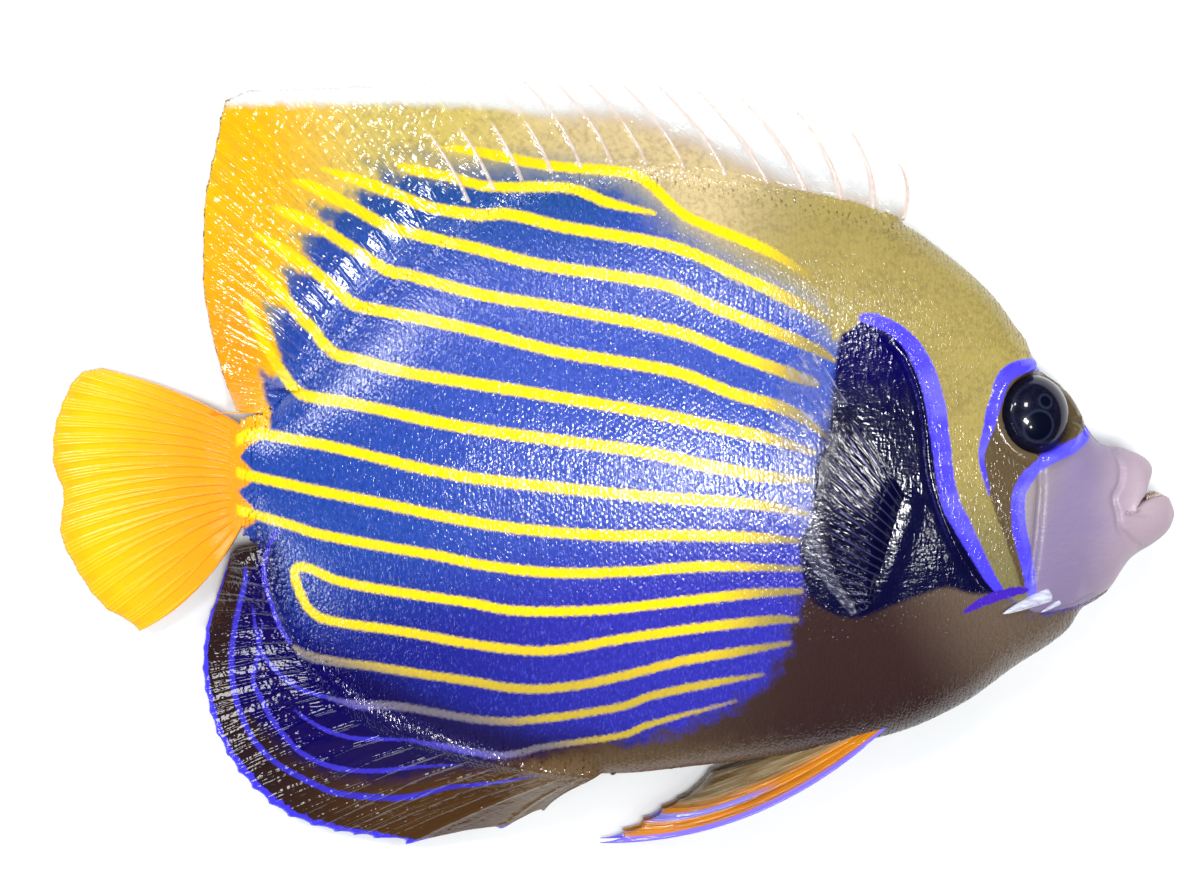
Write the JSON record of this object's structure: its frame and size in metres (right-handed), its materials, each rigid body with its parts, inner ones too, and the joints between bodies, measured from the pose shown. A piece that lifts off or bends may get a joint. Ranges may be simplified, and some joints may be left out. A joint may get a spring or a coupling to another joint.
{
  "type": "emperor angelfish model",
  "caption": "Life-size still model of an adult emperor angelfish lying on its left side, with striped body and spread fins.",
  "frame": {"origin": "centre of the fish's outline on the surface that it lies on", "axes": "+X towards the mouth, +Y towards the back and its fin, +Z out of the right flank"},
  "size_m": [0.1713, 0.1181, 0.0276],
  "materials": {
    "body_skin": "wet scaly skin, blue with yellow stripes",
    "head_skin": "wet skin, olive and lilac with blue bands and a black mask",
    "lips": "moist pink-lilac skin",
    "gill_cover": "wet olive skin edged in blue",
    "cheek_spine": "smooth pale bone",
    "eye": "clear glossy cornea over a black iris",
    "dorsal_fin": "wet fin membrane, tan to yellow-orange, with striped base",
    "anal_fin": "wet fin membrane, navy to brown with a blue edge",
    "tail_fin": "wet orange-yellow fin membrane",
    "pectoral_fin": "wet clear membrane with dark rays",
    "pelvic_fin": "wet orange membrane with a blue leading edge"
  },
  "bodies": {
    "root": {"head": "head_skin", "trunk": "body_skin", "peduncle": "body_skin", "upper_jaw": "lips", "lower_jaw": "lips", "gill_cover_right": "gill_cover", "cheek_spine_right": "cheek_spine", "eye_right": "eye", "pectoral_fin_right": "pectoral_fin", "pelvic_fin_right": "pelvic_fin", "gill_cover_left": "gill_cover", "cheek_spine_left": "cheek_spine", "eye_left": "eye", "pectoral_fin_left": "pectoral_fin", "pelvic_fin_left": "pelvic_fin", "dorsal_fin": "dorsal_fin", "anal_fin": "anal_fin", "caudal_fin": "tail_fin"}
  },
  "joints": []
}
